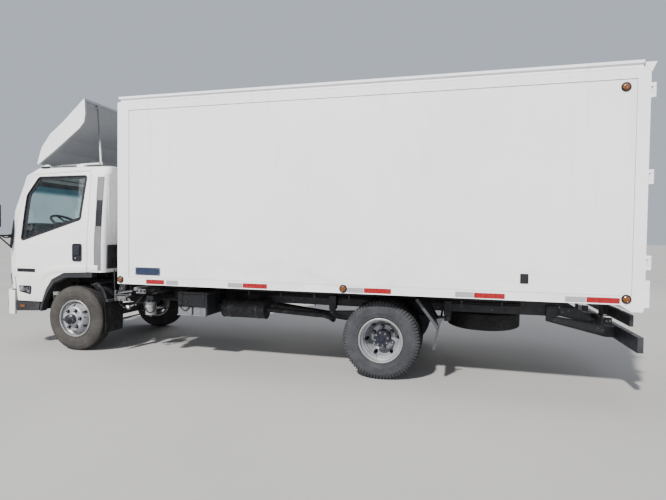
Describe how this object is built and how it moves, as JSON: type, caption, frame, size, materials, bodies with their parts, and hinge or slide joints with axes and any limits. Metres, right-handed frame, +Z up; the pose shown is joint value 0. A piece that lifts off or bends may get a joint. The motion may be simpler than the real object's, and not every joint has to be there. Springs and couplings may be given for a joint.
{
  "type": "insulated box truck",
  "caption": "Light cab-over delivery truck with a tilting cab, a roof wind deflector and a long riveted insulated box body with rear doors",
  "frame": {"origin": "on the ground, under the middle of the truck's length and width", "axes": "-X forwards, -Y to the truck's left, +Z up"},
  "size_m": [7.32, 2.68, 3.108],
  "materials": {
    "box_white": "satin",
    "cab_white": "gloss",
    "chassis_black": "satin",
    "engine_metal": "rough",
    "exhaust_steel": "weathered",
    "tyre": "dusty",
    "wheel_silver": "silver",
    "black_plastic": "grained",
    "cab_floor_mat": "ribbed",
    "floor_board": "worn board",
    "seat_fabric": "woven",
    "window_glass": "tinted",
    "lamp_clear": "clear",
    "lamp_red": "moulded",
    "lamp_amber": "moulded"
  },
  "bodies": {
    "chassis": {"chassis_frame": "chassis_black", "chassis_crossmembers": "chassis_black", "cab_rear_stay": "chassis_black", "front_axle_beam": "chassis_black", "leaf_springs": "chassis_black", "rear_axle": "chassis_black", "propeller_shaft": "chassis_black", "engine_block": "engine_metal", "fuel_tank": "chassis_black", "battery_box": "chassis_black", "exhaust_muffler": "exhaust_steel", "air_tanks": "chassis_black", "front_bumper": "cab_white", "rear_underrun_bar": "chassis_black", "tail_lamps": "lamp_red", "rear_mudguards": "black_plastic", "spare_wheel": "tyre", "spare_wheel_carrier": "chassis_black", "box_subframe": "chassis_black", "box_sills": "chassis_black", "box_floor": "floor_board", "box_front_wall": "box_white", "box_left_wall": "box_white", "box_right_wall": "box_white", "box_roof": "box_white", "box_rear_frame": "box_white", "side_marker_lamps": "lamp_amber"},
    "cab": {"cab_roof": "cab_white", "cab_back_panel": "cab_white", "cab_front_panel": "cab_white", "cab_pillars": "cab_white", "cab_glass": "window_glass", "cab_floor": "cab_floor_mat", "wheel_arch_trims": "black_plastic", "cab_steps": "black_plastic", "dashboard": "black_plastic", "driver_seat": "seat_fabric", "passenger_seat": "seat_fabric", "headlamps": "lamp_clear", "mirrors": "black_plastic", "roof_deflector": "cab_white", "deflector_stays": "cab_white"},
    "cab_door_left": {"cab_door_left": "cab_white", "door_glass_left": "window_glass"},
    "cab_door_right": {"cab_door_right": "cab_white", "door_glass_right": "window_glass"},
    "steering_wheel": {"steering_wheel": "black_plastic"},
    "knuckle_left": {"knuckle_left": "chassis_black"},
    "knuckle_right": {"knuckle_right": "chassis_black"},
    "tie_rod": {"tie_rod": "chassis_black"},
    "wheel_front_left": {"tyre_front_left": "tyre", "rim_front_left": "wheel_silver"},
    "wheel_front_right": {"tyre_front_right": "tyre", "rim_front_right": "wheel_silver"},
    "wheels_rear_left": {"tyres_rear_left": "tyre", "rims_rear_left": "wheel_silver"},
    "wheels_rear_right": {"tyres_rear_right": "tyre", "rims_rear_right": "wheel_silver"},
    "rear_door_left": {"rear_door_left": "box_white"},
    "rear_door_right": {"rear_door_right": "box_white"}
  },
  "joints": [
    {"name": "steer_left", "type": "hinge", "parent": "chassis", "child": "knuckle_left", "pos_m": [-2.55, -0.74, 0.4025], "axis": [0, 0, 1], "range_deg": [-36, 36]},
    {"name": "steer_right", "type": "hinge", "parent": "chassis", "child": "knuckle_right", "pos_m": [-2.55, 0.74, 0.4025], "axis": [0, 0, 1], "range_deg": [-36, 36]},
    {"name": "tie_rod_pivot", "type": "hinge", "parent": "knuckle_left", "child": "tie_rod", "pos_m": [-2.4, -0.74, 0.3], "axis": [0, 0, 1], "range_deg": [-36, 36]},
    {"name": "steering_wheel_turn", "type": "hinge", "parent": "cab", "child": "steering_wheel", "pos_m": [-3.03, -0.54, 1.59], "axis": [0.5, 0, 0.866], "range_deg": [-580, 580]},
    {"name": "wheel_front_left_roll", "type": "hinge", "parent": "knuckle_left", "child": "wheel_front_left", "pos_m": [-2.55, -0.84, 0.4025], "axis": [0, 1, 0], "continuous": true},
    {"name": "wheel_front_right_roll", "type": "hinge", "parent": "knuckle_right", "child": "wheel_front_right", "pos_m": [-2.55, 0.84, 0.4025], "axis": [0, 1, 0], "continuous": true},
    {"name": "wheels_rear_left_roll", "type": "hinge", "parent": "chassis", "child": "wheels_rear_left", "pos_m": [1.295, -0.825, 0.4025], "axis": [0, 1, 0], "continuous": true},
    {"name": "wheels_rear_right_roll", "type": "hinge", "parent": "chassis", "child": "wheels_rear_right", "pos_m": [1.295, 0.825, 0.4025], "axis": [0, 1, 0], "continuous": true},
    {"name": "cab_tilt", "type": "hinge", "parent": "chassis", "child": "cab", "pos_m": [-3.5, 0, 0.762], "axis": [0, -1, 0], "range_deg": [0, 45]},
    {"name": "cab_door_left_swing", "type": "hinge", "parent": "cab", "child": "cab_door_left", "pos_m": [-3.422, -1.002, 1.2], "axis": [0, 0, -1], "range_deg": [0, 70]},
    {"name": "cab_door_right_swing", "type": "hinge", "parent": "cab", "child": "cab_door_right", "pos_m": [-3.422, 1.002, 1.2], "axis": [0, 0, 1], "range_deg": [0, 70]},
    {"name": "rear_door_left_swing", "type": "hinge", "parent": "chassis", "child": "rear_door_left", "pos_m": [3.645, -1.19, 1.9], "axis": [0, 0, -1], "range_deg": [0, 250]},
    {"name": "rear_door_right_swing", "type": "hinge", "parent": "chassis", "child": "rear_door_right", "pos_m": [3.645, 1.19, 1.9], "axis": [0, 0, 1], "range_deg": [0, 250]}
  ],
  "couplings": [
    {"joint": "steer_right", "follows": "steer_left", "ratio": 1},
    {"joint": "tie_rod_pivot", "follows": "steer_left", "ratio": -1},
    {"joint": "steering_wheel_turn", "follows": "steer_left", "ratio": 16}
  ]
}
